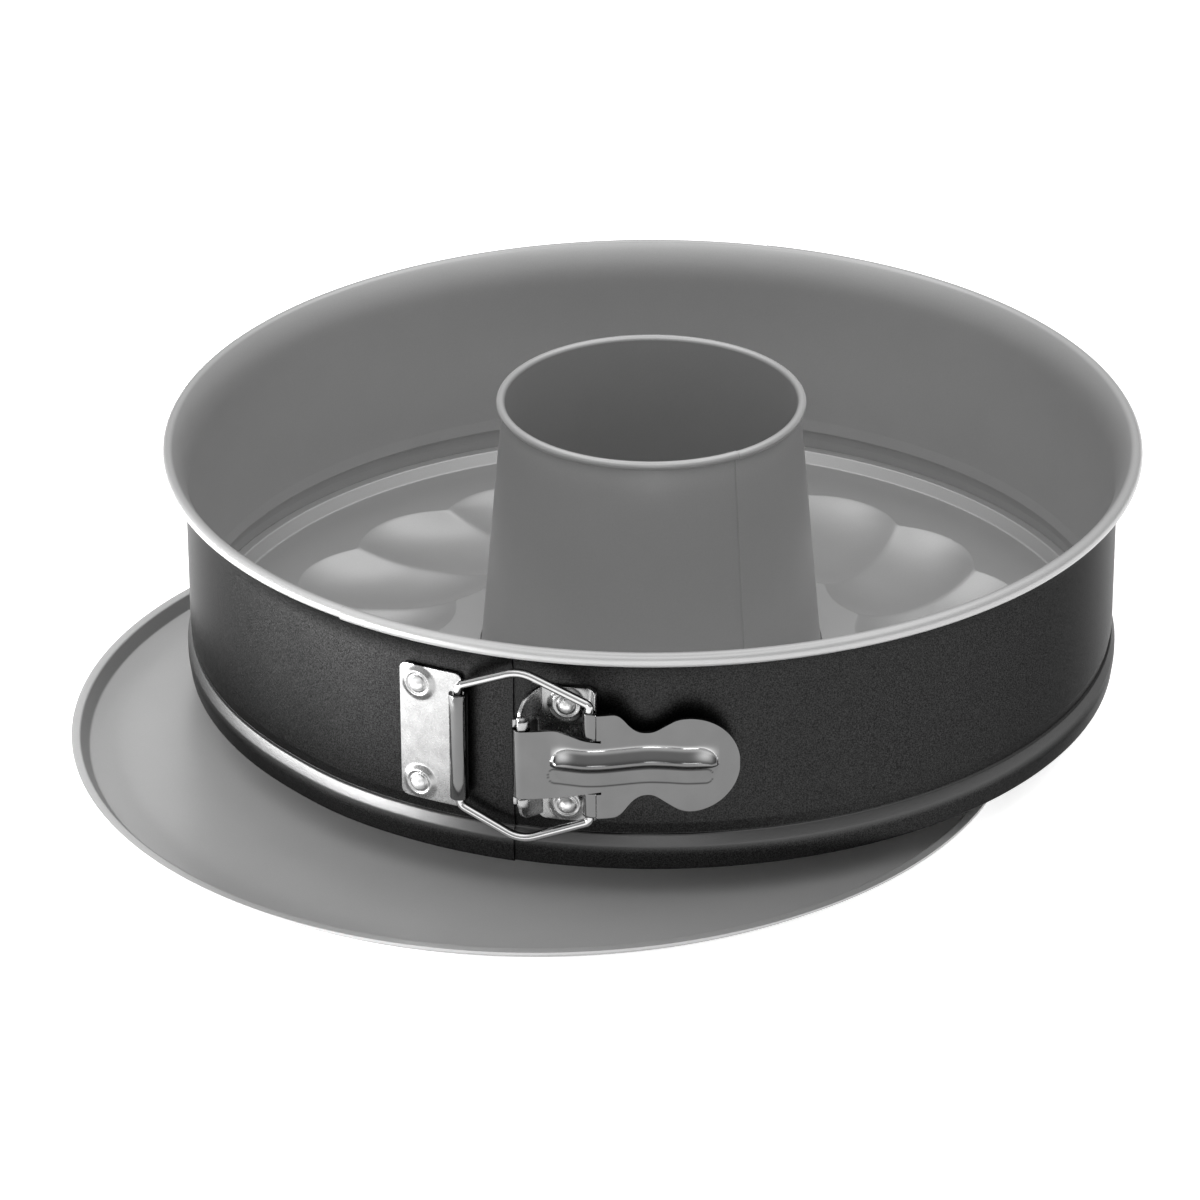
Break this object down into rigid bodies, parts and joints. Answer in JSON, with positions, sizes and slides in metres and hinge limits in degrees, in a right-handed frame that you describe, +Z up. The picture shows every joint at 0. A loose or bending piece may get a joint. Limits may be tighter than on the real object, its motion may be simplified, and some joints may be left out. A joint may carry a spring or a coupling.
{
  "type": "springform ring pan",
  "caption": "Round springform ring pan: a split side band with a lever clasp, a fluted base with a centre tube, and a spare flat base under it.",
  "frame": {"origin": "on the table under the ring's axis, at the underside of the spare flat base", "axes": "+Z up along the ring's axis, -Y towards the lever's pivot, +X to the lever's right"},
  "size_m": [0.2832, 0.3011, 0.0854],
  "materials": {
    "band_paint": "dark satin non-stick coat on sheet steel",
    "base_paint": "grey satin non-stick coat on sheet steel",
    "clasp_steel": "bright plated steel"
  },
  "bodies": {
    "spare_base": {"flat_base": "base_paint"},
    "pan": {"band_right": "band_paint", "base_disc": "base_paint", "centre_tube": "base_paint", "bracket": "clasp_steel", "pivot_pin": "clasp_steel", "bracket_rivet_upper": "clasp_steel", "bracket_rivet_lower": "clasp_steel"},
    "left_band": {"band_left": "band_paint", "hinge_plate": "clasp_steel", "hinge_rivet_upper": "clasp_steel", "hinge_rivet_lower": "clasp_steel"},
    "bail": {"bail": "clasp_steel"},
    "lever": {"lever": "clasp_steel"}
  },
  "joints": [
    {"name": "pan_lift", "type": "slide", "parent": "spare_base", "child": "pan", "axis": [0, 0, 1], "range_m": [0, 0.12]},
    {"name": "lever_open", "type": "hinge", "parent": "pan", "child": "lever", "pos_m": [0.00141, -0.13499, 0.0432], "axis": [0, 0, -1], "range_deg": [0, 160]},
    {"name": "band_open", "type": "hinge", "parent": "pan", "child": "left_band", "pos_m": [0, 0.1345, 0.0432], "axis": [0, 0, -1], "range_deg": [0, 6]},
    {"name": "bail_swing", "type": "hinge", "parent": "left_band", "child": "bail", "pos_m": [-0.0167, -0.13034, 0.0432], "axis": [0, 0, -1], "range_deg": [0, 20.91]}
  ],
  "couplings": [
    {"joint": "band_open", "follows": "lever_open", "ratio": 0.037481},
    {"joint": "bail_swing", "follows": "lever_open", "ratio": 0.13067}
  ]
}
